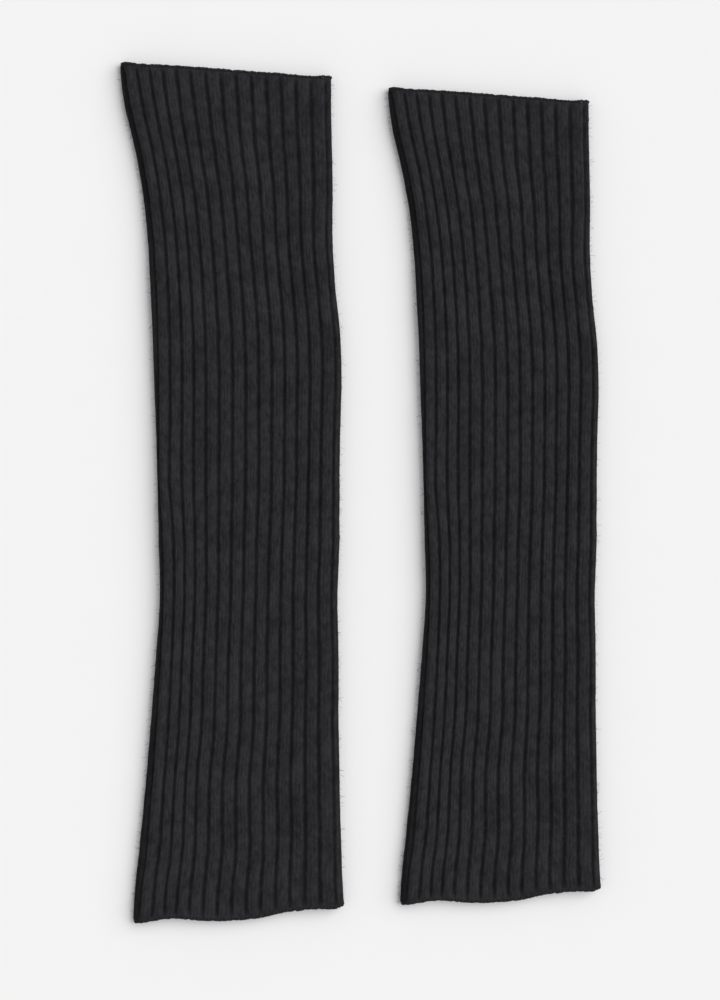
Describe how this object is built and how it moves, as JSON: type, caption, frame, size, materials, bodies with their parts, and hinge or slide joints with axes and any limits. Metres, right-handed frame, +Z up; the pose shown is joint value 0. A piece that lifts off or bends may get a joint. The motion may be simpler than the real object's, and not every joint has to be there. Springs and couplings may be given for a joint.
{
  "type": "pair of leg warmers",
  "caption": "Charcoal rib-knitted leg warmers laid flat side by side: straight tubes, open at both ends and folded at their sides, with fine lengthwise ribs.",
  "frame": {"origin": "middle of the pair's box, on the surface that the leg warmers lie on", "axes": "+Z up out of the surface, +Y along the tubes towards their flared upper ends, +X from the first leg warmer to the second"},
  "size_m": [0.2836, 0.5078, 0.009],
  "materials": {
    "rib_knit": "matte, slightly fuzzy charcoal rib knit"
  },
  "bodies": {
    "root": {"left_leg_warmer": "rib_knit", "right_leg_warmer": "rib_knit"}
  },
  "joints": []
}
